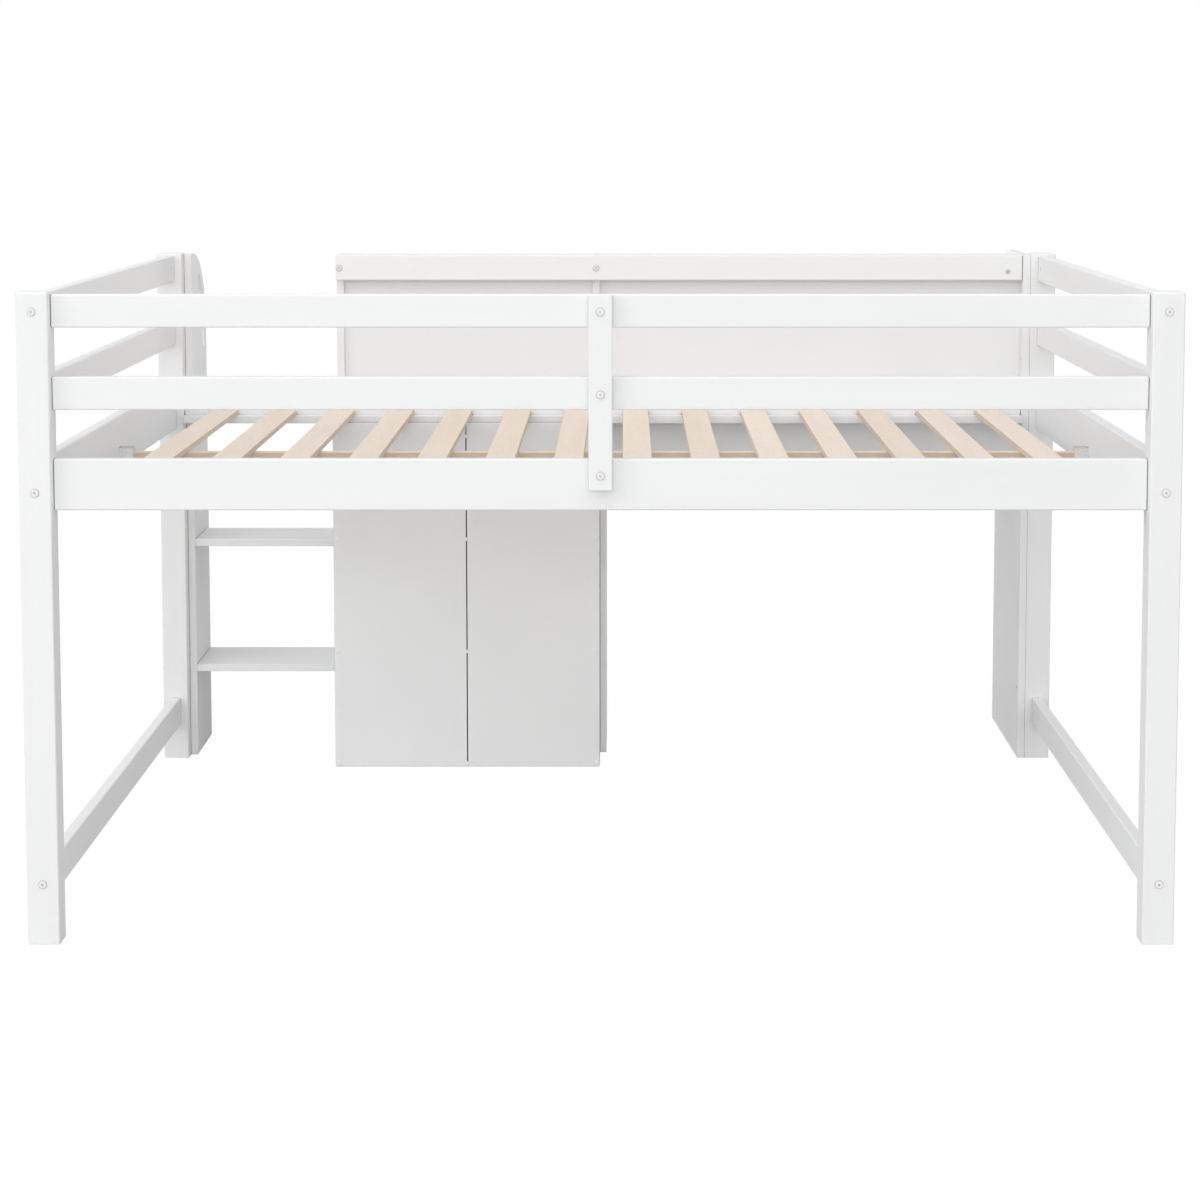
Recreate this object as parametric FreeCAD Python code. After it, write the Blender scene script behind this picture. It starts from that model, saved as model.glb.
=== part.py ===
import FreeCAD, Part
import math
import os

# A low loft bed of painted wood with a ladder entry, a six-cube unit, a hutch and a desk along
# its front. Lengths are in millimetres. While it is being built, x runs from the middle of the
# bed, y from the outer faces of the back posts and z from the floor.

# Frame
bed_length = 1990.0
frame_depth = 1473.0
post_side = 55.0
post_height = 1135.0
post_edge_radius = 3.0
rail_thickness = 22.0
rail_edge_radius = 3.0
side_rail_recess = 22.0
guard_rail_height = 57.0
guard_drop = 5.0
guard_gap = 84.5
side_rail_height = 89.0
side_rail_gap = 84.5
end_bed_rail_height = 103.0
stretcher_height = 62.0
stretcher_clearance = 76.0
tenon_thickness = 12.0
tenon_shoulder = 8.0
tenon_depth = 10.0
mortise_clearance = 0.2

# Upright over the back rails
upright_width = 41.0
upright_thickness = 22.0
upright_top_drop = 4.0
upright_rail_cover = 53.0

# Mattress support
cleat_depth = 20.0
cleat_height = 17.0
slat_count = 14
slat_width = 56.0
slat_thickness = 12.0
slat_end_gap = 80.25
slat_side_clearance = 2.0
slat_edge_radius = 1.5
beam_width = 28.0
beam_height = 40.0
hanger_sheet = 2.0
hanger_length = 28.0
hanger_rise = 9.0
hanger_clearance = 0.3
hanger_corner_radius = 5.0

# Boards of the ladder, cube unit, hutch and desk
board_thickness = 16.0
panel_thickness = 12.0
board_edge_radius = 1.5
board_top_drop = 3.0
board_depth = 207.0
board_corner_radius = 170.0
groove_depth = 5.0
groove_clearance = 0.3
ladder_opening = 323.5
handle_slot_width = 30.0
handle_slot_inset = 40.0
handle_slot_drop = 32.0
handle_slot_angle = 55.0
handle_edge_radius = 3.0
tread_thickness = 16.0
lower_tread_height = 207.0
upper_tread_height = 492.0
upper_tread_setback = 31.0
cube_width = 586.0
cube_depth = 325.0
cube_rail_clearance = 12.0
cube_row_height = 235.0
cube_shelf_setback = 6.0
cube_back_slat_clearance = 7.0
cube_back_joint = 2.0
hutch_panel_inset = 12.0
hutch_shelf_setback = 20.0
left_shelf_drop = 190.0
right_shelf_drop = 240.0
end_board_depth = 423.0
desk_drop = 96.0
desk_thickness = 18.0
desk_setback = 10.0
desk_corner_radius = 60.0
desk_side_thickness = 14.0

# Fasteners
bolt_diameter = 6.0
bolt_clearance = 1.0
bolt_head_diameter = 15.0
bolt_head_height = 2.0
bolt_head_edge_radius = 1.5
bolt_socket_flats = 4.0
bolt_socket_depth = 2.5
bolt_grip = 42.0
bolt_end_room = 3.0
upright_bolt_grip = 16.0
nut_diameter = 10.0
nut_length = 16.0
nut_setback = 33.0
nut_clearance = 0.3
nut_hole_clearance = 0.4
guard_bolt_offset = 16.5
rail_bolt_upper_drop = 11.0
rail_bolt_lower_drop = 35.0
end_rail_bolt_drop = 56.0
front_guard_bolt_drop = 38.0
front_upright_bolt_drop = 29.5
screw_diameter = 4.0
screw_length = 25.0
screw_head_diameter = 8.0
screw_head_height = 2.5
hanger_screw_length = 14.0
rail_screw_length = 50.0
screw_clearance = 0.2
fixing_diameter = 5.0
fixing_length = 28.0
fixing_cap_diameter = 8.0
fixing_cap_height = 1.8
fixing_cap_bevel = 1.0
fixing_clearance = 0.3
fixing_end_inset = 60.0
ladder_post_fixings = (620.0, 800.0)
end_fixing_height = 158.0
end_fixing_drop = 235.0

V = FreeCAD.Vector
pieces = {}
fasteners = {"frame_bolts": [], "barrel_nuts": [], "wood_screws": [], "board_fixings": []}
bores = []
mortises = []


def block(x, y, z):
    return Part.makeBox(x[1] - x[0], y[1] - y[0], z[1] - z[0], V(x[0], y[0], z[0]))


def eased(x, y, z, radius):
    """A block whose edges are all rounded, by no more than its thickness allows."""
    room = min(x[1] - x[0], y[1] - y[0], z[1] - z[0])
    plain = block(x, y, z)
    return plain.makeFillet(min(radius, 0.4 * room), plain.Edges)


def rail(x, y, z):
    return eased(x, y, z, rail_edge_radius)


def board(x, y, z):
    return eased(x, y, z, board_edge_radius)


def rounded_side(x, y, z, radius):
    """An upright board whose top corner on the room side is a quarter circle."""
    a = V(x[0], y[0], z[0])
    b = V(x[0], y[1], z[0])
    c = V(x[0], y[1], z[1] - radius)
    d = V(x[0], y[1] - radius, z[1])
    e = V(x[0], y[0], z[1])
    bulge = radius * math.sqrt(0.5)
    middle = V(x[0], y[1] - radius + bulge, z[1] - radius + bulge)
    corner = Part.Arc(c, middle, d).toShape()
    lines = [Part.makeLine(a, b), Part.makeLine(b, c), corner, Part.makeLine(d, e), Part.makeLine(e, a)]
    solid = Part.Face(Part.Wire(lines)).extrude(V(x[1] - x[0], 0, 0))
    outline = [edge for edge in solid.Edges if edge.BoundBox.XLength < x[1] - x[0] - board_edge_radius]
    return solid.makeFillet(board_edge_radius, outline)


def rod(at, along, diameter, length):
    return Part.makeCylinder(diameter / 2, length, V(*at), V(*along))


def shifted(at, along, distance):
    return tuple(p + a * distance for p, a in zip(at, along))


def add_bolt(at, along, grip_end, end_room):
    """A bolt with a wide flat socket head that seats on a face, and the plain hole that takes it."""
    top = shifted(at, along, -bolt_head_height)
    head = rod(top, along, bolt_head_diameter, bolt_head_height)
    outer_rim = [edge for edge in head.Edges if edge.CenterOfMass.isEqual(V(*top), 0.01)]
    head = head.makeFillet(bolt_head_edge_radius, outer_rim)
    shank = rod(at, along, bolt_diameter, grip_end)
    corners = []
    for k in range(7):
        angle = math.radians(60 * k)
        reach = bolt_socket_flats / math.sqrt(3)
        corners.append(V(reach * math.cos(angle), reach * math.sin(angle), 0))
    socket = Part.Face(Part.makePolygon(corners)).extrude(V(0, 0, bolt_socket_depth))
    turn = FreeCAD.Rotation(V(0, 0, 1), V(*along))
    socket.Placement = FreeCAD.Placement(V(*top), turn)
    fasteners["frame_bolts"].append(head.fuse(shank).removeSplitter().cut(socket))
    bores.append(rod(at, along, bolt_diameter + bolt_clearance, grip_end + end_room))


def add_nut(at, inward, bolt_along):
    """A cross-drilled barrel nut in a blind hole from a rail's inner face; at is on the bolt."""
    nut = rod(shifted(at, inward, -nut_length / 2), inward, nut_diameter, nut_length)
    hole_start = shifted(at, bolt_along, -nut_diameter)
    hole = rod(hole_start, bolt_along, bolt_diameter + nut_hole_clearance, 2 * nut_diameter)
    fasteners["barrel_nuts"].append(nut.cut(hole))
    depth = rail_thickness / 2 + nut_length / 2
    mouth = shifted(at, inward, -rail_thickness / 2)
    bores.append(rod(mouth, inward, nut_diameter + nut_clearance, depth))


def add_screw(at, along, length):
    """A countersunk wood screw, flush with the face that it is driven into."""
    for size, extra, keep in ((0.0, 0.0, True), (screw_clearance, screw_clearance, False)):
        head_radius = (screw_head_diameter + size) / 2
        neck_radius = (screw_diameter + size) / 2
        head = Part.makeCone(head_radius, neck_radius, screw_head_height, V(*at), V(*along))
        shank = rod(at, along, screw_diameter + size, length + extra)
        solid = head.fuse(shank).removeSplitter()
        if keep:
            fasteners["wood_screws"].append(solid)
        else:
            bores.append(solid)


def add_fixing(at, along, flush):
    """A capped screw that joins two boards, its cap flush with the face or proud of it."""
    start = at if flush else shifted(at, along, -fixing_cap_height)
    radius = fixing_cap_diameter / 2
    crown = Part.makeCone(radius - fixing_cap_bevel, radius, fixing_cap_bevel, V(*start), V(*along))
    skirt_start = shifted(start, along, fixing_cap_bevel)
    skirt = rod(skirt_start, along, fixing_cap_diameter, fixing_cap_height - fixing_cap_bevel)
    shank = rod(skirt_start, along, fixing_diameter, fixing_length - fixing_cap_bevel)
    fasteners["board_fixings"].append(crown.multiFuse([skirt, shank]).removeSplitter())
    bores.append(rod(at, along, fixing_diameter + fixing_clearance, fixing_length + fixing_clearance))
    if flush:
        bores.append(rod(at, along, fixing_cap_diameter + fixing_clearance, fixing_cap_height))


# Planes shared by the pieces
half_length = bed_length / 2
post_inner_x = half_length - post_side
front_post_y = frame_depth - post_side
end_rail_recess = (post_side - rail_thickness) / 2
end_rail_x = half_length - end_rail_recess - rail_thickness
end_axis_x = end_rail_x + rail_thickness / 2
back_rail_y = (side_rail_recess, side_rail_recess + rail_thickness)
front_rail_y = (frame_depth - side_rail_recess - rail_thickness, frame_depth - side_rail_recess)
back_axis_y = sum(back_rail_y) / 2
front_axis_y = sum(front_rail_y) / 2
top_guard_z = (post_height - guard_drop - guard_rail_height, post_height - guard_drop)
mid_guard_z = (top_guard_z[0] - guard_gap - guard_rail_height, top_guard_z[0] - guard_gap)
side_rail_top = mid_guard_z[0] - side_rail_gap
side_rail_z = (side_rail_top - side_rail_height, side_rail_top)
end_bed_rail_z = (side_rail_top - end_bed_rail_height, side_rail_top)
stretcher_z = (stretcher_clearance, stretcher_clearance + stretcher_height)
cleat_z = (side_rail_z[0], side_rail_z[0] + cleat_height)
slat_z = (cleat_z[1], cleat_z[1] + slat_thickness)

# Four square posts, softened on every long edge and round the top.
for end_name, side in (("left", -1), ("right", 1)):
    x = sorted((side * post_inner_x, side * half_length))
    for row_name, y0 in (("back", 0.0), ("front", front_post_y)):
        post = block(x, (y0, y0 + post_side), (0, post_height))
        low_edges = [e for e in post.Edges if e.BoundBox.ZMax < post_height / 2]
        kept = [e for e in post.Edges if not any(e.isSame(low) for low in low_edges)]
        pieces[row_name + "_" + end_name + "_post"] = post.makeFillet(post_edge_radius, kept)

# Rails of the two ends, between the posts. The middle guard rail has a stub tenon at each end.
tenon_half = tenon_thickness / 2
tenon_z = (mid_guard_z[0] + tenon_shoulder, mid_guard_z[1] - tenon_shoulder)


def grown(span, amount):
    return (span[0] - amount, span[1] + amount)


for end_name, side in (("left", -1), ("right", 1)):
    x = sorted((side * end_rail_x, side * (end_rail_x + rail_thickness)))
    y = (post_side, front_post_y)
    prefix = end_name + "_end_"
    for rail_name, z in (
        ("top_guard_rail", top_guard_z),
        ("mid_guard_rail", mid_guard_z),
        ("bed_rail", end_bed_rail_z),
        ("stretcher", stretcher_z),
    ):
        pieces[prefix + rail_name] = rail(x, y, z)
    tenon_x = grown((side * end_axis_x, side * end_axis_x), tenon_half)
    tenon = block(tenon_x, grown(y, tenon_depth), tenon_z)
    pieces[prefix + "mid_guard_rail"] = pieces[prefix + "mid_guard_rail"].fuse(tenon)
    for y_mortise in ((post_side - tenon_depth, post_side), (front_post_y, front_post_y + tenon_depth)):
        mortise_x = grown(tenon_x, mortise_clearance)
        mortise_y = grown(y_mortise, mortise_clearance)
        mortises.append(block(mortise_x, mortise_y, grown(tenon_z, mortise_clearance)))
    for rail_z in (sum(top_guard_z) / 2, side_rail_top - end_rail_bolt_drop, sum(stretcher_z) / 2):
        for face_y, turn in ((0.0, 1), (frame_depth, -1)):
            along = (0, turn, 0)
            add_bolt((side * end_axis_x, face_y, rail_z), along, post_side + bolt_grip, bolt_end_room)
            nut_y = face_y + turn * (post_side + nut_setback)
            add_nut((side * end_axis_x, nut_y, rail_z), (side, 0, 0), along)

# Rails of the back side, between the back posts.
rail_x = (-post_inner_x, post_inner_x)
pieces["back_top_guard_rail"] = rail(rail_x, back_rail_y, top_guard_z)
pieces["back_side_rail"] = rail(rail_x, back_rail_y, side_rail_z)
mid_rail = rail(rail_x, back_rail_y, mid_guard_z)
tenon_y = grown((back_axis_y, back_axis_y), tenon_half)
pieces["back_mid_guard_rail"] = mid_rail.fuse(block(grown(rail_x, tenon_depth), tenon_y, tenon_z))
for side in (-1, 1):
    mortise_x = sorted((side * post_inner_x, side * (post_inner_x + tenon_depth)))
    mortise_y = grown(tenon_y, mortise_clearance)
    mortise_x = grown(mortise_x, mortise_clearance)
    mortises.append(block(mortise_x, mortise_y, grown(tenon_z, mortise_clearance)))
    for rail_z in (
        sum(top_guard_z) / 2 - guard_bolt_offset,
        side_rail_top - rail_bolt_upper_drop,
        side_rail_top - rail_bolt_lower_drop,
    ):
        along = (-side, 0, 0)
        add_bolt((side * half_length, back_axis_y, rail_z), along, post_side + bolt_grip, bolt_end_room)
        add_nut((side * (post_inner_x - nut_setback), back_axis_y, rail_z), (0, -1, 0), along)

# Upright bolted over the middle of the three back rails.
upright_y = (back_rail_y[0] - upright_thickness, back_rail_y[0])
upright_z = (side_rail_top - upright_rail_cover, post_height - upright_top_drop)
upright_x = (-upright_width / 2, upright_width / 2)
pieces["back_guard_upright"] = rail(upright_x, upright_y, upright_z)
for rail_z in (sum(top_guard_z) / 2, sum(mid_guard_z) / 2, (upright_z[0] + side_rail_top) / 2):
    add_bolt((0, upright_y[0], rail_z), (0, 1, 0), upright_thickness + upright_bolt_grip, bolt_end_room)

# Planes of the boards along the front. The right end board stands inside the front right post,
# and the front rails end on it.
board_top = post_height - board_top_drop
end_board_x = (post_inner_x - board_thickness, post_inner_x)
ladder_board_x = (-post_inner_x, -post_inner_x + board_thickness)
front_y = front_rail_y[1]
board_y = (front_y, front_y + board_depth)
cube_x = (ladder_board_x[1] + ladder_opening, ladder_board_x[1] + ladder_opening + cube_width)
cube_left_x = (cube_x[0], cube_x[0] + board_thickness)
cube_right_x = (cube_x[1] - board_thickness, cube_x[1])
cube_top = side_rail_z[0] - cube_rail_clearance

# Side rail of the front, from the front left post to the end board.
front_rail_x = (-post_inner_x, end_board_x[0])
pieces["front_side_rail"] = rail(front_rail_x, front_rail_y, side_rail_z)
for rail_z in (side_rail_top - rail_bolt_upper_drop, side_rail_top - rail_bolt_lower_drop):
    start = (-half_length, front_axis_y, rail_z)
    add_bolt(start, (1, 0, 0), post_side + bolt_grip, bolt_end_room)
    add_nut((-post_inner_x + nut_setback, front_axis_y, rail_z), (0, 1, 0), (1, 0, 0))
    start = (half_length, front_axis_y, rail_z)
    add_bolt(start, (-1, 0, 0), post_side + board_thickness + bolt_grip, bolt_end_room)
    add_nut((end_board_x[0] - nut_setback, front_axis_y, rail_z), (0, 1, 0), (-1, 0, 0))

# Guard rail of the front, from the hutch's left side to the end board.
front_guard_z = (board_top - guard_rail_height, board_top)
front_guard_x = (cube_x[0], end_board_x[0])
pieces["front_top_guard_rail"] = rail(front_guard_x, front_rail_y, front_guard_z)
start = (half_length, front_axis_y, board_top - front_guard_bolt_drop)
add_bolt(start, (-1, 0, 0), post_side + board_thickness + bolt_grip, bolt_end_room)
add_nut((end_board_x[0] - nut_setback, front_axis_y, start[2]), (0, 1, 0), (-1, 0, 0))
for x in (sum(cube_left_x) / 2, sum(cube_right_x) / 2):
    start = (x, front_rail_y[0], board_top - front_upright_bolt_drop)
    add_bolt(start, (0, 1, 0), rail_thickness + bolt_grip, bolt_end_room)
    add_screw((x, front_rail_y[0], sum(side_rail_z) / 2), (0, 1, 0), rail_screw_length)

# Two cleats inside the side rails, and the slats that are screwed down on them.
back_cleat_y = (back_rail_y[1], back_rail_y[1] + cleat_depth)
front_cleat_y = (front_rail_y[0] - cleat_depth, front_rail_y[0])
pieces["back_slat_cleat"] = board(rail_x, back_cleat_y, cleat_z)
pieces["front_slat_cleat"] = board(front_rail_x, front_cleat_y, cleat_z)
slat_y = (back_rail_y[1] + slat_side_clearance, front_rail_y[0] - slat_side_clearance)
slat_first = -end_rail_x + slat_end_gap + slat_width / 2
slat_pitch = -2 * slat_first / (slat_count - 1)
for k in range(slat_count):
    middle = slat_first + k * slat_pitch
    slat_x = (middle - slat_width / 2, middle + slat_width / 2)
    pieces["slat_%02d" % (k + 1)] = eased(slat_x, slat_y, slat_z, slat_edge_radius)
    for cleat_y in (back_cleat_y, front_cleat_y):
        add_screw((middle, sum(cleat_y) / 2, slat_z[1]), (0, 0, -1), screw_length)

# Middle beam under the slats, hung at both ends in bent sheet hangers on the end bed rails.
beam_y = (sum(slat_y) / 2 - beam_width / 2, sum(slat_y) / 2 + beam_width / 2)
beam_z = (slat_z[0] - beam_height, slat_z[0])
beam_end = end_rail_x - hanger_sheet - hanger_clearance
pieces["centre_beam"] = eased((-beam_end, beam_end), beam_y, beam_z, slat_edge_radius)
hangers = []
cheek_y = grown(beam_y, hanger_clearance)
for side in (-1, 1):
    outer_x = sorted((side * end_rail_x, side * (end_rail_x - hanger_length)))
    inner_x = sorted((side * (end_rail_x - hanger_sheet), side * (end_rail_x - hanger_length)))
    hanger_z = (beam_z[0] - hanger_sheet, beam_z[1] + hanger_rise)
    outer = block(outer_x, grown(cheek_y, hanger_sheet), hanger_z)
    free_x = side * (end_rail_x - hanger_length)
    corners = []
    for edge in outer.Edges:
        middle = edge.CenterOfMass
        if abs(middle.x - free_x) < hanger_sheet and abs(middle.z - hanger_z[1]) < hanger_sheet:
            corners.append(edge)
    outer = outer.makeFillet(hanger_corner_radius, corners)
    hangers.append(outer.cut(block(inner_x, cheek_y, (beam_z[0], hanger_z[1]))))
    plate_x = side * (end_rail_x - hanger_sheet)
    plate_z = (beam_z[1] + hanger_z[1]) / 2
    add_screw((plate_x, sum(beam_y) / 2, plate_z), (side, 0, 0), hanger_screw_length)
    cheek_x = side * (end_rail_x - hanger_length / 2)
    for y, turn in ((cheek_y[0] - hanger_sheet, 1), (cheek_y[1] + hanger_sheet, -1)):
        add_screw((cheek_x, y, sum(beam_z) / 2), (0, turn, 0), hanger_screw_length - hanger_sheet)

# Ladder board with a rounded top corner and a hand-hold slot that follows it.
ladder_board = rounded_side(ladder_board_x, board_y, (0, board_top), board_corner_radius)
arc_y = board_y[1] - board_corner_radius
arc_z = board_top - board_corner_radius
slot_path = board_corner_radius - handle_slot_inset


def slot_point(radius, degrees):
    angle = math.radians(degrees)
    return V(ladder_board_x[0], arc_y + radius * math.cos(angle), arc_z + radius * math.sin(angle))


slot_in = slot_path - handle_slot_width / 2
slot_out = slot_path + handle_slot_width / 2
drop = V(0, 0, -handle_slot_drop)
end_turn = math.radians(handle_slot_angle + 90)
cap_reach = V(0, math.cos(end_turn), math.sin(end_turn)) * (handle_slot_width / 2)
low_middle = slot_point(slot_path, 0) + drop + V(0, 0, -handle_slot_width / 2)
slot_wire = Part.Wire([
    Part.Arc(slot_point(slot_out, 0) + drop, low_middle, slot_point(slot_in, 0) + drop).toShape(),
    Part.makeLine(slot_point(slot_in, 0) + drop, slot_point(slot_in, 0)),
    Part.Arc(
        slot_point(slot_in, 0),
        slot_point(slot_in, handle_slot_angle / 2),
        slot_point(slot_in, handle_slot_angle),
    ).toShape(),
    Part.Arc(
        slot_point(slot_in, handle_slot_angle),
        slot_point(slot_path, handle_slot_angle) + cap_reach,
        slot_point(slot_out, handle_slot_angle),
    ).toShape(),
    Part.Arc(
        slot_point(slot_out, handle_slot_angle),
        slot_point(slot_out, handle_slot_angle / 2),
        slot_point(slot_out, 0),
    ).toShape(),
    Part.makeLine(slot_point(slot_out, 0), slot_point(slot_out, 0) + drop),
])
ladder_board = ladder_board.cut(Part.Face(slot_wire).extrude(V(board_thickness, 0, 0)))
rim = []
for edge in ladder_board.Edges:
    box = edge.BoundBox
    inside_y = box.YMin > board_y[0] + handle_slot_width and box.YMax < board_y[1] - handle_edge_radius
    inside_z = box.ZMin > handle_slot_width and box.ZMax < board_top - handle_edge_radius
    if box.XLength < handle_edge_radius and inside_y and inside_z:
        rim.append(edge)
pieces["ladder_board"] = ladder_board.makeFillet(handle_edge_radius, rim)
for z in ladder_post_fixings:
    add_fixing((ladder_board_x[1], (front_y + frame_depth) / 2, z), (-1, 0, 0), True)

# Two treads between the ladder board and the cube unit.
tread_x = (ladder_board_x[1], cube_x[0])
for name, top, setback in (
    ("lower", lower_tread_height, 0.0),
    ("upper", upper_tread_height, upper_tread_setback),
):
    tread_y = (board_y[0], board_y[1] - setback)
    pieces["ladder_tread_" + name] = board(tread_x, tread_y, (top - tread_thickness, top))
    for y in (tread_y[0] + fixing_end_inset, tread_y[1] - fixing_end_inset):
        z = top - tread_thickness / 2
        add_fixing((ladder_board_x[0], y, z), (1, 0, 0), True)
        add_fixing((cube_left_x[1], y, z), (-1, 0, 0), True)

# Cube unit: two sides, bottom, top, partition and four shelves behind two back panels.
cube_back_y = (board_y[1] - cube_depth, board_y[1] - cube_depth + panel_thickness)
cube_y = (cube_back_y[1], board_y[1])
cube_inner_x = (cube_left_x[1], cube_right_x[0])
cube_middle = sum(cube_inner_x) / 2
partition_x = grown((cube_middle, cube_middle), board_thickness / 2)
pieces["cube_left_side"] = board(cube_left_x, cube_y, (0, cube_top))
pieces["cube_right_side"] = board(cube_right_x, cube_y, (0, cube_top))
pieces["cube_bottom"] = board(cube_inner_x, cube_y, (0, board_thickness))
pieces["cube_top"] = board(cube_inner_x, cube_y, (cube_top - board_thickness, cube_top))
partition_z = (board_thickness, cube_top - board_thickness)
pieces["cube_partition"] = board(partition_x, cube_y, partition_z)
shelf_y = (cube_y[0], cube_y[1] - cube_shelf_setback)
shelf_bottoms = [board_thickness + cube_row_height, 2 * (board_thickness + cube_row_height)]
shelves = []
for z0 in shelf_bottoms:
    for x in ((cube_inner_x[0], partition_x[0]), (partition_x[1], cube_inner_x[1])):
        shelves.append(board(x, shelf_y, (z0, z0 + board_thickness)))
pieces["cube_shelves"] = shelves
joint_x = grown((cube_middle, cube_middle), cube_back_joint / 2)
cube_back_z = (0, slat_z[0] - cube_back_slat_clearance)
pieces["cube_left_back_panel"] = board((cube_x[0], joint_x[0]), cube_back_y, cube_back_z)
pieces["cube_right_back_panel"] = board((joint_x[1], cube_x[1]), cube_back_y, cube_back_z)
row_heights = [board_thickness / 2]
row_heights += [z0 + board_thickness / 2 for z0 in shelf_bottoms]
row_heights += [cube_top - board_thickness / 2]
for z in row_heights:
    for x in (sum(cube_left_x) / 2, cube_middle, sum(cube_right_x) / 2):
        add_fixing((x, cube_back_y[0], z), (0, 1, 0), False)
    for y in (cube_y[0] + fixing_end_inset, cube_y[1] - fixing_end_inset):
        add_fixing((cube_x[0], y, z), (1, 0, 0), True)
        add_fixing((cube_x[1], y, z), (-1, 0, 0), True)
for y in (cube_y[0] + fixing_end_inset, cube_y[1] - fixing_end_inset):
    add_fixing((cube_middle, y, 0), (0, 0, 1), True)
    add_fixing((cube_middle, y, cube_top), (0, 0, -1), True)

# Hutch: two uprights on the cube unit's sides, back panels in grooves and a shelf in each bay.
hutch_z = (cube_top, board_top)
hutch_back_y = (front_y + hutch_panel_inset, front_y + hutch_panel_inset + panel_thickness)
groove_y = grown(hutch_back_y, groove_clearance)
tongue = groove_depth - groove_clearance
hutch_left = rounded_side(cube_left_x, board_y, hutch_z, board_corner_radius)
hutch_divider = rounded_side(cube_right_x, board_y, hutch_z, board_corner_radius)
left_groove_x = (cube_left_x[1] - groove_depth, cube_left_x[1])
pieces["hutch_left_side"] = hutch_left.cut(block(left_groove_x, groove_y, hutch_z))
for x in (cube_right_x[0], cube_right_x[1] - groove_depth):
    hutch_divider = hutch_divider.cut(block((x, x + groove_depth), groove_y, hutch_z))
pieces["hutch_divider"] = hutch_divider
pieces["hutch_left_back_panel"] = block(grown(cube_inner_x, tongue), hutch_back_y, hutch_z)
desk_z = (cube_top - desk_drop - desk_thickness, cube_top - desk_drop)
right_bay_x = (cube_x[1], end_board_x[0])
right_panel_z = (desk_z[0], board_top)
right_panel = block((right_bay_x[0], right_bay_x[1] + tongue), hutch_back_y, right_panel_z)
divider_tongue = block((right_bay_x[0] - tongue, right_bay_x[0]), hutch_back_y, hutch_z)
pieces["hutch_right_back_panel"] = right_panel.fuse(divider_tongue).removeSplitter()
hutch_shelf_y = (hutch_back_y[1], board_y[1] - hutch_shelf_setback)
left_shelf_z = (board_top - left_shelf_drop - board_thickness, board_top - left_shelf_drop)
right_shelf_z = (board_top - right_shelf_drop - board_thickness, board_top - right_shelf_drop)
pieces["hutch_left_shelf"] = board(cube_inner_x, hutch_shelf_y, left_shelf_z)
pieces["hutch_right_shelf"] = board(right_bay_x, hutch_shelf_y, right_shelf_z)
for y in (hutch_shelf_y[0] + fixing_end_inset / 2, hutch_shelf_y[1] - fixing_end_inset / 2):
    add_fixing((cube_x[0], y, sum(left_shelf_z) / 2), (1, 0, 0), True)
    add_fixing((cube_right_x[1], y, sum(left_shelf_z) / 2), (-1, 0, 0), True)
    add_fixing((cube_right_x[0], y, sum(right_shelf_z) / 2), (1, 0, 0), True)
    add_fixing((end_board_x[1], y, sum(right_shelf_z) / 2), (-1, 0, 0), True)

# Deep end board inside the front right post, with the desk between it and the cube unit.
end_board_y = (front_post_y, front_post_y + end_board_depth)
end_board = rounded_side(end_board_x, end_board_y, (0, board_top), board_corner_radius)
end_groove = block((end_board_x[0], end_board_x[0] + groove_depth), groove_y, right_panel_z)
pieces["right_end_board"] = end_board.cut(end_groove)
for z in (end_fixing_height, post_height - end_fixing_drop):
    add_fixing((end_board_x[0], front_axis_y, z), (1, 0, 0), True)
desk_y = (hutch_back_y[1], end_board_y[1] - desk_setback)
desk = block(right_bay_x, desk_y, desk_z)
desk_corner = []
for edge in desk.Edges:
    box = edge.BoundBox
    if box.XMax < right_bay_x[0] + 1e-6 and box.YMin > desk_y[1] - 1e-6:
        desk_corner.append(edge)
pieces["desk_top"] = desk.makeFillet(desk_corner_radius, desk_corner)
desk_side_x = (cube_x[1], cube_x[1] + desk_side_thickness)
desk_side_y = (desk_y[0], board_y[1])
pieces["desk_left_panel"] = board(desk_side_x, desk_side_y, (0, desk_z[0]))
for y in (desk_side_y[0] + fixing_end_inset, desk_side_y[1] - fixing_end_inset):
    add_fixing((cube_right_x[0], y, sum(desk_z) / 2), (1, 0, 0), True)
    for z in (fixing_end_inset, desk_z[0] - fixing_end_inset):
        add_fixing((cube_right_x[0], y, z), (1, 0, 0), True)
for y in (desk_y[0] + fixing_end_inset, desk_y[1] - fixing_end_inset):
    add_fixing((end_board_x[1], y, sum(desk_z) / 2), (-1, 0, 0), True)

pieces["beam_hangers"] = hangers


def drilled(solid, cuts):
    """Take out every hole or mortise that reaches this piece."""
    for bore in cuts:
        if solid.BoundBox.intersect(bore.BoundBox):
            solid = solid.cut(bore)
    return solid.Solids[0]


middle_y = (end_board_y[1] - bolt_head_height) / 2
os.makedirs("parts", exist_ok=True)
for name, shape in list(pieces.items()) + list(fasteners.items()):
    solids = shape if isinstance(shape, list) else [shape]
    if name not in fasteners:
        cuts = bores + mortises if name.endswith("_post") else bores
        solids = [drilled(solid, cuts) for solid in solids]
    whole = solids[0] if len(solids) == 1 else Part.makeCompound(solids)
    whole.translate(V(0, -middle_y, 0))
    whole.exportStep("parts/" + name + ".step")
    print(name, len(whole.Solids), round(whole.Volume))
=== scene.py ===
import math

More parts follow.
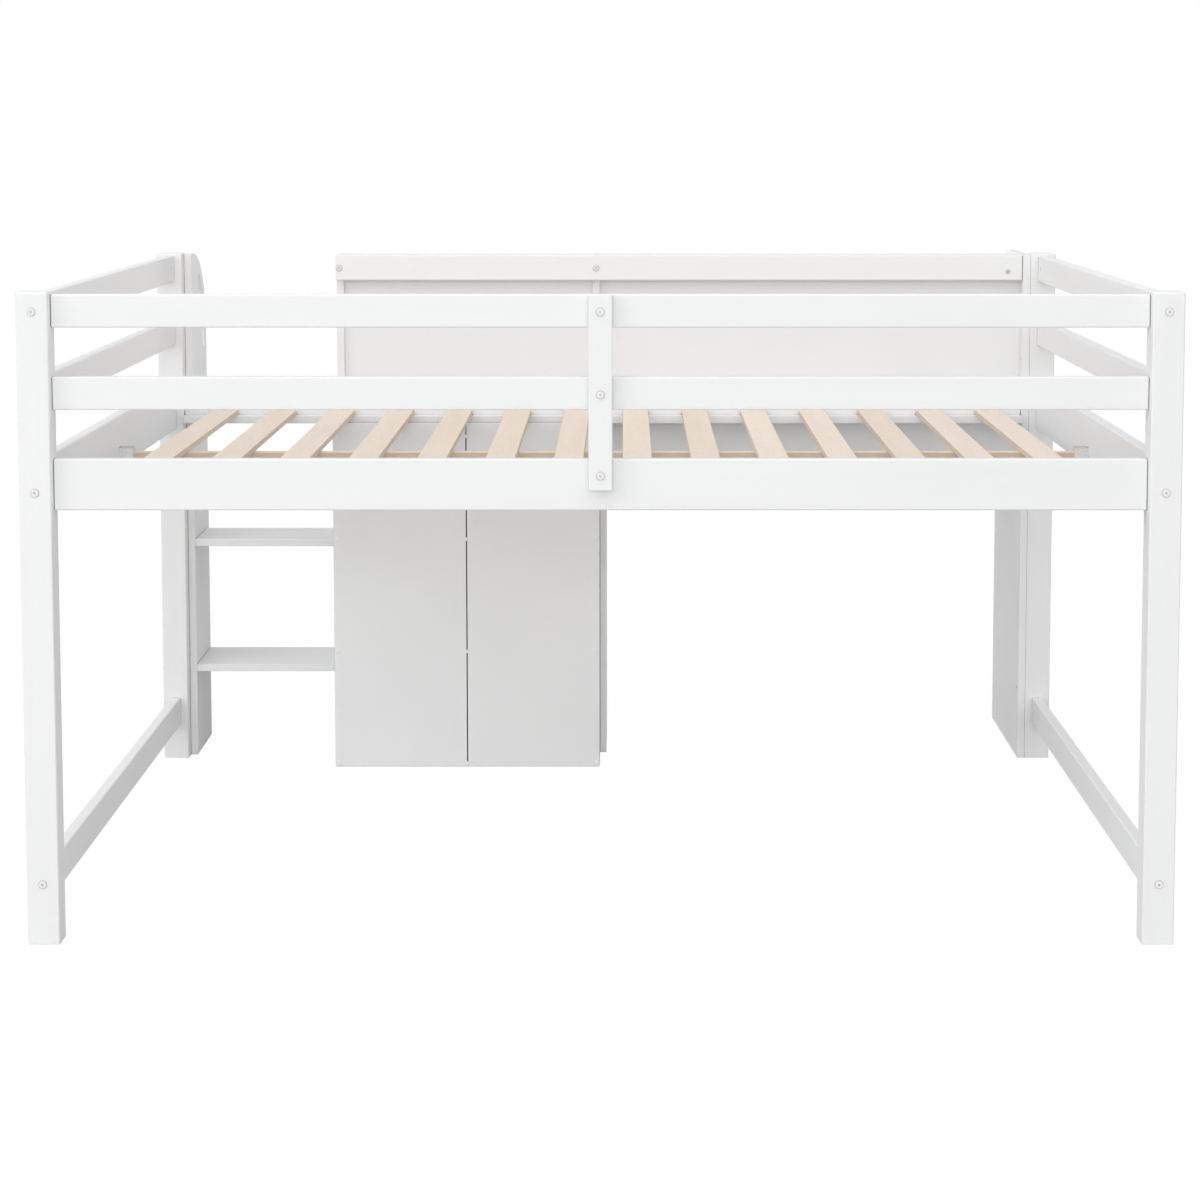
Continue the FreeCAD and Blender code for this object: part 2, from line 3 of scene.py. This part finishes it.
import bpy
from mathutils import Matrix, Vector

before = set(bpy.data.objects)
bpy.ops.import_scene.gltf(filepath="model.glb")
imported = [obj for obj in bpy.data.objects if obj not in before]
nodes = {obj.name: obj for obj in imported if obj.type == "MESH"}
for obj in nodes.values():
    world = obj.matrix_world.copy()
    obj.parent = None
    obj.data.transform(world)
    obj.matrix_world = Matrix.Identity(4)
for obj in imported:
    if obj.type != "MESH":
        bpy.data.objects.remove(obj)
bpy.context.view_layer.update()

# Posts. Four square softwood legs, planed, with eased edges and a rounded top, sprayed with a
# satin white paint. Bolts and barrel nuts draw most rails up against them, and the middle guard
# rails are tenoned into them.


class Field:
    """One socket of a finish's node tree. Arithmetic on fields adds Math nodes."""

    def __init__(self, tree, socket=None):
        self.tree = tree
        self.socket = socket

    def node(self, kind, inputs=None, out=0, stops=None, **settings):
        made = self.tree.nodes.new(kind)
        for name, value in settings.items():
            setattr(made, name, value)
        if stops:
            ramp = made.color_ramp
            while len(ramp.elements) < len(stops):
                ramp.elements.new(1.0)
            for element, (place, colour) in zip(ramp.elements, stops):
                element.position = place
                element.color = (*colour, 1.0)
        for name, value in (inputs or {}).items():
            if isinstance(value, Field):
                self.tree.links.new(value.socket, made.inputs[name])
            else:
                made.inputs[name].default_value = value
        return Field(self.tree, made.outputs[out])

    def into(self, shader, name):
        self.tree.links.new(self.socket, shader.inputs[name])

    def math(self, operation, first, second):
        return self.node("ShaderNodeMath", {0: first, 1: second}, operation=operation)

    def __add__(self, other):
        return self.math("ADD", self, other)

    def __radd__(self, other):
        return self.math("ADD", other, self)

    def __sub__(self, other):
        return self.math("SUBTRACT", self, other)

    def __rsub__(self, other):
        return self.math("SUBTRACT", other, self)

    def __mul__(self, other):
        return self.math("MULTIPLY", self, other)

    def __rmul__(self, other):
        return self.math("MULTIPLY", other, self)


def new_finish(name):
    """An empty finish: its material, its shader and a field to start from."""
    material = bpy.data.materials.new(name)
    material.use_nodes = True
    shader = material.node_tree.nodes["Principled BSDF"]
    return material, shader, Field(material.node_tree)


def stretched(start, along, across, run):
    """Object coordinates scaled so that a pattern is drawn out along the run of the wood."""
    place = start.node("ShaderNodeTexCoord", out="Object")
    scale = tuple(along if axis == run else across for axis in "xyz")
    return start.node("ShaderNodeVectorMath", {0: place, 1: scale}, operation="MULTIPLY")


def noise(start, vector, scale, detail, rough=0.5):
    """A soft random pattern around one half."""
    inputs = {"Vector": vector, "Scale": scale, "Detail": detail, "Roughness": rough}
    return start.node("ShaderNodeTexNoise", inputs)


def tinted(start, colour, mask, tint):
    """A colour multiplied by a tint, as far as the mask says."""
    mix = {0: mask, 6: colour, 7: tint}
    return start.node("ShaderNodeMix", mix, out=2, data_type="RGBA", blend_type="MULTIPLY")


def grey(level):
    return (level, level, level)


def painted_crevice_shade(start, paint, deepest=0.22):
    """The paint's colour with painted shade: darkened in the narrow joints between pieces, where
    shade falls.
    """
    near = {"Distance": 0.007}
    openness = start.node("ShaderNodeAmbientOcclusion", near, out="AO", samples=6)
    stops = [(0.12, grey(deepest)), (0.46, grey(1.0))]
    return tinted(start, paint, 1.0, start.node("ShaderNodeValToRGB", {0: openness}, stops=stops))


def painted_wood(name, run, low=(0.857, 0.861, 0.865), high=(0.885, 0.889, 0.893)):
    """White satin paint on planed softwood: the grain shows faintly through the coat, and painted
    shade darkens its joints.
    """
    material, shader, start = new_finish(name)
    grain = noise(start, stretched(start, 5.0, 170.0, run), 1.0, 4.0, 0.6)
    bands = noise(start, stretched(start, 1.2, 26.0, run), 1.0, 2.0)
    cloud = noise(start, start.node("ShaderNodeTexCoord", out="Object"), 5.0, 2.0)
    spray = noise(start, start.node("ShaderNodeTexCoord", out="Object"), 620.0, 1.0)
    tone = 0.5 * bands + 0.3 * cloud + 0.2 * grain
    paint = start.node("ShaderNodeValToRGB", {0: tone}, stops=[(0.3, low), (0.7, high)])
    painted_crevice_shade(start, paint).into(shader, "Base Color")
    (0.54 + 0.12 * grain).into(shader, "Roughness")
    height = 0.7 * grain + 0.3 * spray
    bump = {"Strength": 0.06, "Distance": 0.0006, "Height": height}
    start.node("ShaderNodeBump", bump).into(shader, "Normal")
    shader.inputs["Specular IOR Level"].default_value = 0.2
    return material


def dress(names, material):
    """Give each of these pieces the material, in place of any that it has."""
    for name in names:
        slots = nodes[name].data.materials
        slots.clear()
        slots.append(material)


rail_up = painted_wood("white_rail_up", "z")
rail_along = painted_wood("white_rail_along", "x")
ends = ("left", "right")
dress([row + "_" + end + "_post" for row in ("back", "front") for end in ends], rail_up)

# Rails of the two ends. Each end has a top guard rail, a middle guard rail, the bed rail that
# carries the beam and a stretcher near the floor, of the same painted softwood as the posts.
# Their paint is drawn a little lighter and bluer than the posts', as painted light.
lit_rail_across = painted_wood("white_rail_across", "y", (0.874, 0.886, 0.900), (0.900, 0.912, 0.926))
end_rails = ("top_guard_rail", "mid_guard_rail", "bed_rail", "stretcher")
dress([end + "_end_" + rail for end in ends for rail in end_rails], lit_rail_across)

# Rails of the back side. A side rail and two guard rails of painted softwood run between the back
# posts, with a short upright that is bolted over the middle of all three.
dress(["back_top_guard_rail", "back_mid_guard_rail", "back_side_rail"], rail_along)
dress(["back_guard_upright"], rail_up)

# Rails of the front side, of painted softwood. The side rail runs from the left post to the end
# board, and the guard rail stops at the ladder entry, where it is bolted to the hutch's upright.
dress(["front_side_rail", "front_top_guard_rail"], rail_along)

# Slat cleats. Two strips of painted softwood, glued along the inner faces of the side rails, that
# carry the ends of the slats.
dress(["back_slat_cleat", "front_slat_cleat"], rail_along)

# Slats. Fourteen bare strips of pale softwood, planed and lightly eased. Each is screwed down on
# the cleats, and no two have quite the same tone or figure.


def facing(start, axis, least=0.7):
    """1 on the faces that look along this axis, either way, and 0 on the others."""
    normal = start.node("ShaderNodeNewGeometry", out="Normal")
    part = start.node("ShaderNodeSeparateXYZ", {0: normal}, out=axis)
    part = start.node("ShaderNodeMath", {0: part}, operation="ABSOLUTE")
    return start.math("GREATER_THAN", part, least)


def bare_wood(name, run, strip, low, high):
    """Pale bare wood: short fine flecks, a soft figure and a tone of its own for each strip, with
    painted shade on the strip's long sides.
    """
    material, shader, start = new_finish(name)
    place = start.node("ShaderNodeTexCoord", out="Object")
    across = "X" if run == "y" else "Y"
    strips = start.node("ShaderNodeSeparateXYZ", {0: place}, out=across) * (1.0 / strip)
    number = start.node("ShaderNodeMath", {0: strips}, operation="FLOOR")
    own = start.node("ShaderNodeTexWhiteNoise", {"W": number}, noise_dimensions="1D")
    fibre = noise(start, stretched(start, 22.0, 520.0, run), 1.0, 3.0, 0.6)
    fleck = noise(start, stretched(start, 70.0, 260.0, run), 1.0, 2.0, 0.7)
    bands = noise(start, stretched(start, 1.6, 34.0, run), 1.0, 2.0)
    cloud = noise(start, stretched(start, 3.0, 12.0, run), 1.0, 2.0)
    tone = 0.26 * fibre + 0.30 * fleck + 0.16 * bands + 0.16 * cloud + 0.12 * own
    wood = start.node("ShaderNodeValToRGB", {0: tone}, stops=[(0.34, low), (0.62, high)])
    # The strip's long sides are darkened as painted shade.
    shaded_sides = facing(start, across)
    tinted(start, wood, shaded_sides, (0.88, 0.83, 0.77, 1.0)).into(shader, "Base Color")
    (0.56 + 0.14 * fibre).into(shader, "Roughness")
    bump = {"Strength": 0.14, "Distance": 0.0004, "Height": 0.6 * fibre + 0.4 * fleck}
    start.node("ShaderNodeBump", bump).into(shader, "Normal")
    shader.inputs["Specular IOR Level"].default_value = 0.3
    return material


slat_count = 14
slat_pitch = 0.1305
slat_dark = (0.800, 0.668, 0.550)
slat_light = (0.905, 0.810, 0.705)
slat_wood = bare_wood("pale_slat_wood", "y", slat_pitch, slat_dark, slat_light)
dress(["slat_%02d" % (number + 1) for number in range(slat_count)], slat_wood)

# Middle beam and its hangers. A bare strip on edge under the slats, dropped at both ends into a
# hanger that is bent from zinc-plated sheet and screwed to the end bed rail.
one_strip = 4.0
beam_dark = (0.72, 0.60, 0.49)
beam_light = (0.83, 0.73, 0.63)
dress(["centre_beam"], bare_wood("pale_beam_wood", "x", one_strip, beam_dark, beam_light))


def plated(name, low, high, rough, top_face_shade=1.0):
    """Plated steel with a faint spangle and fine rolling marks; painted shade darkens the faces that
    look up, as far as asked, and the joints.
    """
    material, shader, start = new_finish(name)
    place = start.node("ShaderNodeTexCoord", out="Object")
    cells = start.node("ShaderNodeTexVoronoi", {"Vector": place, "Scale": 260.0}, out="Distance")
    marks = noise(start, stretched(start, 60.0, 900.0, "z"), 1.0, 2.0)
    tone = 0.6 * cells + 0.4 * marks
    stops = [(0.2, grey(low)), (0.8, grey(high))]
    metal = start.node("ShaderNodeValToRGB", {0: tone}, stops=stops)
    metal = tinted(start, metal, facing(start, "Z"), (*grey(top_face_shade), 1.0))
    painted_crevice_shade(start, metal).into(shader, "Base Color")
    (rough + 0.2 * marks).into(shader, "Roughness")
    shader.inputs["Metallic"].default_value = 0.85
    return material


plating_rough = 0.38
dress(["beam_hangers"], plated("zinc_hanger", 0.76, 0.88, plating_rough, top_face_shade=0.28))

# Ladder. A tall outer board with a rounded top corner and a routed hand-hold, and two treads
# between it and the cube unit, all of fibreboard with rounded edges under smooth white paint.


def painted_board(name, edge_tint=None):
    """Smooth white paint on fibreboard: the spray's fine texture, a faint cloudiness and painted
    shade in the joints.

    If a tint is given, the faces that don't look along Y are multiplied by it.
    """
    material, shader, start = new_finish(name)
    place = start.node("ShaderNodeTexCoord", out="Object")
    cloud = noise(start, place, 4.0, 3.0)
    spray = noise(start, place, 700.0, 2.0)
    stops = [(0.3, (0.854, 0.860, 0.866)), (0.7, (0.878, 0.884, 0.890))]
    paint = start.node("ShaderNodeValToRGB", {0: cloud}, stops=stops)
    if edge_tint:
        paint = tinted(start, paint, 1.0 - facing(start, "Y"), edge_tint)
    painted_crevice_shade(start, paint).into(shader, "Base Color")
    (0.56 + 0.1 * spray).into(shader, "Roughness")
    bump = {"Strength": 0.05, "Distance": 0.0004, "Height": spray}
    start.node("ShaderNodeBump", bump).into(shader, "Normal")
    shader.inputs["Specular IOR Level"].default_value = 0.12
    return material


board_white = painted_board("white_board")
dress(["ladder_board", "ladder_tread_lower", "ladder_tread_upper"], board_white)

# Cube unit. Two columns of three open cubes, screwed together from painted boards, with two
# thin back panels that stand up above its top board towards the slats.
dress([name for name in nodes if name.startswith("cube_")], board_white)
thin_panel = painted_board("white_thin_panel", edge_tint=(0.42, 0.40, 0.38, 1.0))
dress(["cube_left_back_panel", "cube_right_back_panel"], thin_panel)

# Hutch. Uprights with rounded corners stand on the cube unit's sides, with grooved-in back
# panels that close the front of the bed, and a shelf in each bay.
dress([name for name in nodes if name.startswith("hutch_")], board_white)

# Desk end. A deep end board inside the front right post, the desk top that hangs between it and
# the cube unit, and a narrow panel that props the desk's left end.
dress(["right_end_board", "desk_top", "desk_left_panel"], board_white)

# Fasteners. Nickel-plated bolts with wide flat socket heads, zinc-plated barrel nuts and wood
# screws, and screws with small plastic caps where boards meet.


def cap_plastic(name):
    """Moulded caps, a little uneven from handling: white on the backs, grey in the side boards."""
    material, shader, start = new_finish(name)
    wear = noise(start, start.node("ShaderNodeTexCoord", out="Object"), 180.0, 3.0)
    stops = [(0.3, grey(0.90)), (0.7, grey(0.94))]
    plastic = start.node("ShaderNodeValToRGB", {0: wear}, stops=stops)
    tinted(start, plastic, facing(start, "X"), (*grey(0.5), 1.0)).into(shader, "Base Color")
    (0.35 + 0.1 * wear).into(shader, "Roughness")
    return material


def nickel(name):
    """Bright nickel plating, scuffed by handling, with painted shade on the head's bevelled edge and
    in its socket.
    """
    material, shader, start = new_finish(name)
    place = start.node("ShaderNodeTexCoord", out="Object")
    scuffs = noise(start, place, 420.0, 3.0, 0.6)
    stops = [(0.3, (0.82, 0.82, 0.81)), (0.7, (0.90, 0.90, 0.89))]
    metal = start.node("ShaderNodeValToRGB", {0: scuffs}, stops=stops)
    flat = 0.97
    # The bevel round the head is darkened as painted shade.
    shaded_rim = 1.0 - facing(start, "X", flat) - facing(start, "Y", flat)
    metal = tinted(start, metal, shaded_rim, (*grey(0.60), 1.0))
    painted_crevice_shade(start, metal, deepest=0.6).into(shader, "Base Color")
    (0.26 + 0.16 * scuffs).into(shader, "Roughness")
    shader.inputs["Metallic"].default_value = 0.9
    return material


dress(["frame_bolts"], nickel("nickel_bolts"))
dress(["barrel_nuts", "wood_screws"], plated("zinc_hardware", 0.56, 0.70, plating_rough))
dress(["board_fixings"], cap_plastic("white_cap_plastic"))

# Studio. A plain white floor that runs out of sight and a white surround, dimmer beyond the desk
# side. To the camera both are almost pure white, and the floor keeps a trace of the shadow.
scene = bpy.context.scene
scene.view_settings.view_transform = "Standard"
floor_mesh = bpy.data.meshes.new("studio_floor")
floor_reach = 40.0
floor_level = -0.0005
corner_signs = ((-1, -1), (1, -1), (1, 1), (-1, 1))
floor_corners = [(x * floor_reach, y * floor_reach, floor_level) for x, y in corner_signs]
floor_mesh.from_pydata(floor_corners, [], [(0, 1, 2, 3)])
floor = bpy.data.objects.new("studio_floor", floor_mesh)
scene.collection.objects.link(floor)
floor_white, floor_shader, start = new_finish("studio_floor_white")
floor_shader.inputs["Base Color"].default_value = (*grey(0.52), 1.0)
floor_shader.inputs["Roughness"].default_value = 0.9
floor_mesh.materials.append(floor_white)


def seen_directly(start):
    """1 for rays from the camera and for what metal or glass shows of the surround."""
    names = ("Is Camera Ray", "Is Glossy Ray", "Is Transmission Ray")
    direct, mirrored, through = [start.node("ShaderNodeLightPath", out=name) for name in names]
    return start.math("MAXIMUM", start.math("MAXIMUM", direct, mirrored), through)


white = (*grey(1.0), 1.0)
glow_share = 0.94
glow = start.node("ShaderNodeEmission", {"Color": white, "Strength": 1.035})
plain = Field(floor_white.node_tree, floor_shader.outputs[0])
mixed = start.node("ShaderNodeMixShader", {0: glow_share * seen_directly(start), 1: plain, 2: glow})
mixed.into(floor_white.node_tree.nodes["Material Output"], "Surface")

world = bpy.data.worlds.new("studio_world")
scene.world = world
world.use_nodes = True
sky = Field(world.node_tree)
direction = sky.node("ShaderNodeTexCoord", out="Generated")
desk_corner = {0: direction, 1: (0.45, 0.82, 0.35)}
beyond = sky.node("ShaderNodeVectorMath", desk_corner, out="Value", operation="DOT_PRODUCT")
open_side = sky.node("ShaderNodeBackground", {"Color": white, "Strength": 0.92})
dim_side = sky.node("ShaderNodeBackground", {"Color": white, "Strength": 0.38})
dimming = sky.math("MAXIMUM", 0.0, beyond)
around = sky.node("ShaderNodeMixShader", {0: dimming, 1: open_side, 2: dim_side})
backdrop = sky.node("ShaderNodeBackground", {"Color": white, "Strength": 1.0})
surround = sky.node("ShaderNodeMixShader", {0: seen_directly(sky), 1: around, 2: backdrop})
surround.into(world.node_tree.nodes["World Output"], "Surface")


def soft_light(name, place, target, width, height, power):
    """A rectangular light, in metres and watts, that the camera itself does not see."""
    lamp = bpy.data.lights.new(name, "AREA")
    lamp.shape = "RECTANGLE"
    lamp.size = width
    lamp.size_y = height
    lamp.energy = power
    holder = bpy.data.objects.new(name, lamp)
    holder.location = place
    holder.rotation_euler = (Vector(target) - Vector(place)).to_track_quat("-Z", "Y").to_euler()
    holder.visible_camera = False
    scene.collection.objects.link(holder)
    return holder


soft_light("key_light", (-6.0, -5.0, 4.0), (0.0, -0.2, 0.7), 4.2, 4.2, 96.0)
camera_light = soft_light("camera_light", (0.0, -8.0, 1.6), (0.0, 0.0, 0.6), 5.0, 2.4, 100.0)
camera_light.visible_glossy = False
soft_light("top_light", (0.0, -1.9, 5.5), (0.0, -0.4, 0.7), 4.0, 3.0, 46.0)
soft_light("desk_fill", (-1.2, 7.5, 0.7), (0.2, 0.6, 0.6), 4.0, 1.2, 100.0)

# Camera. It stands behind the bed, a little right of its middle and above the guard rails, and
# looks slightly down, with the lens shifted down to keep the posts near upright.
downward_tilt = 5.368
view_lens = bpy.data.cameras.new("view_camera")
view_lens.sensor_width = 36.0
view_lens.lens = 82.421
view_lens.shift_x = -0.0212
view_lens.shift_y = -0.18
camera = bpy.data.objects.new("view_camera", view_lens)
camera.location = (0.0427, -5.5804, 1.4164)
camera.rotation_euler = (math.radians(90.0 - downward_tilt), 0.0, 0.0)
scene.collection.objects.link(camera)
scene.camera = camera
